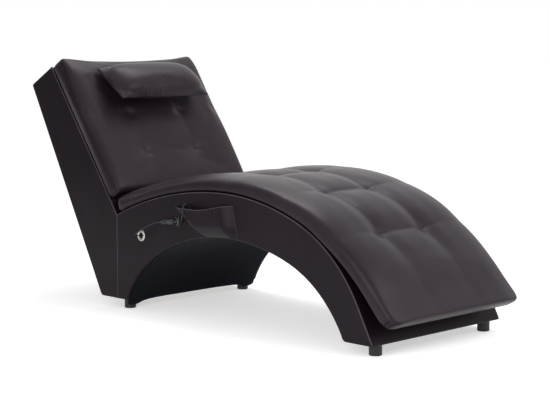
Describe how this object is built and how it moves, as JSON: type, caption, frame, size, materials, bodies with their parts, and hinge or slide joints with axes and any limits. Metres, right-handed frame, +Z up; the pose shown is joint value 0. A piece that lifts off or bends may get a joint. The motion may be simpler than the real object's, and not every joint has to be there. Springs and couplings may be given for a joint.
{
  "type": "massage lounge chair",
  "caption": "Reclined massage lounge chair: a wedge back bolted to an arched seat, tufted imitation leather cushions, a head pillow, vibration motors and a corded handset in a side pocket.",
  "frame": {"origin": "middle of the bounding box on the floor, without the free cord", "axes": "+X from the back towards the foot end, +Y towards the left side of whoever lies in it, +Z up"},
  "size_m": [1.5039, 0.5814, 0.7462],
  "materials": {
    "leather": "dark brown imitation leather, fine grain, soft sheen",
    "lining": "black non-woven dust cloth",
    "board": "raw plywood and softwood",
    "steel": "zinc plated",
    "foot_plastic": "moulded black",
    "hook_and_loop": "black hook and loop tape",
    "case_plastic": "moulded black",
    "circuit_board": "green solder mask",
    "cable": "satin black cable sheath",
    "nickel": "nickel plated",
    "handset_plastic": "fine spark texture, black",
    "button_plastic": "grey"
  },
  "bodies": {
    "chair": {"back_cover_right": "leather", "back_side_board_right": "board", "back_cover_left": "leather", "back_side_board_left": "board", "back_cover_wrap": "leather", "back_front_board": "board", "back_rear_board": "board", "back_seam_board": "board", "back_rails": "board", "seat_cover_right": "leather", "seat_side_board_right": "board", "seat_cover_left": "leather", "seat_side_board_left": "board", "seat_cover_top": "leather", "seat_deck": "board", "dust_cover": "lining", "seat_seam_board": "board", "seat_rails": "board", "joining_bolts": "steel", "joining_nuts": "steel", "rear_foot_right": "foot_plastic", "rear_foot_left": "foot_plastic", "front_foot_right": "foot_plastic", "front_foot_left": "foot_plastic", "foot_screws": "steel", "seat_cushion": "leather", "back_cushion": "leather", "back_loop_strip": "hook_and_loop", "motor_cups": "case_plastic", "motor_lids": "case_plastic", "motor_cans": "steel", "control_box": "case_plastic", "control_box_lid": "case_plastic", "control_board": "circuit_board", "power_inlet": "case_plastic", "wiring_leads": "cable", "grommet": "nickel", "grommet_washer": "nickel", "cord_plug": "cable", "cord_socket": "cable", "harness_cord": "cable", "handset_cord": "cable", "side_pocket": "leather"},
    "pillow": {"head_pillow": "leather", "pillow_hook_strip": "hook_and_loop"},
    "handset": {"handset_rear_shell": "handset_plastic", "handset_front_shell": "handset_plastic", "handset_board": "circuit_board", "handset_gland": "cable"},
    "power_button": {"button_power": "button_plastic"},
    "mode_button": {"button_mode": "button_plastic"},
    "softer_button": {"button_softer": "button_plastic"},
    "stronger_button": {"button_stronger": "button_plastic"},
    "zone_button": {"button_zone": "button_plastic"},
    "weight_1": {"motor_weight_1": "steel"},
    "weight_2": {"motor_weight_2": "steel"},
    "weight_3": {"motor_weight_3": "steel"},
    "weight_4": {"motor_weight_4": "steel"},
    "weight_5": {"motor_weight_5": "steel"}
  },
  "joints": [
    {"name": "pillow_lift_off", "type": "slide", "parent": "chair", "child": "pillow", "axis": [0.8141, 0, 0.5807], "range_m": [0, 0.12]},
    {"name": "handset_lift_out", "type": "slide", "parent": "chair", "child": "handset", "axis": [0, 0, 1], "range_m": [0, 0.1]},
    {"name": "power_press", "type": "slide", "parent": "handset", "child": "power_button", "axis": [0, 1, 0], "range_m": [0, 0.0008], "stiffness_N_per_m": 600, "springref_m": -0.0005},
    {"name": "mode_press", "type": "slide", "parent": "handset", "child": "mode_button", "axis": [0, 1, 0], "range_m": [0, 0.0008], "stiffness_N_per_m": 600, "springref_m": -0.0005},
    {"name": "softer_press", "type": "slide", "parent": "handset", "child": "softer_button", "axis": [0, 1, 0], "range_m": [0, 0.0008], "stiffness_N_per_m": 600, "springref_m": -0.0005},
    {"name": "stronger_press", "type": "slide", "parent": "handset", "child": "stronger_button", "axis": [0, 1, 0], "range_m": [0, 0.0008], "stiffness_N_per_m": 600, "springref_m": -0.0005},
    {"name": "zone_press", "type": "slide", "parent": "handset", "child": "zone_button", "axis": [0, 1, 0], "range_m": [0, 0.0008], "stiffness_N_per_m": 600, "springref_m": -0.0005},
    {"name": "weight_1_spin", "type": "hinge", "parent": "chair", "child": "weight_1", "pos_m": [-0.17174, 0.01152, 0.35813], "axis": [0, 1, 0], "continuous": true},
    {"name": "weight_2_spin", "type": "hinge", "parent": "chair", "child": "weight_2", "pos_m": [0.24779, 0.01152, 0.38783], "axis": [0, 1, 0], "continuous": true},
    {"name": "weight_3_spin", "type": "hinge", "parent": "chair", "child": "weight_3", "pos_m": [0.44893, 0.01152, 0.32665], "axis": [0, 1, 0], "continuous": true},
    {"name": "weight_4_spin", "type": "hinge", "parent": "chair", "child": "weight_4", "pos_m": [-0.5754, 0.01152, 0.6407], "axis": [0, 1, 0], "continuous": true},
    {"name": "weight_5_spin", "type": "hinge", "parent": "chair", "child": "weight_5", "pos_m": [-0.47784, 0.01152, 0.50393], "axis": [0, 1, 0], "continuous": true}
  ]
}
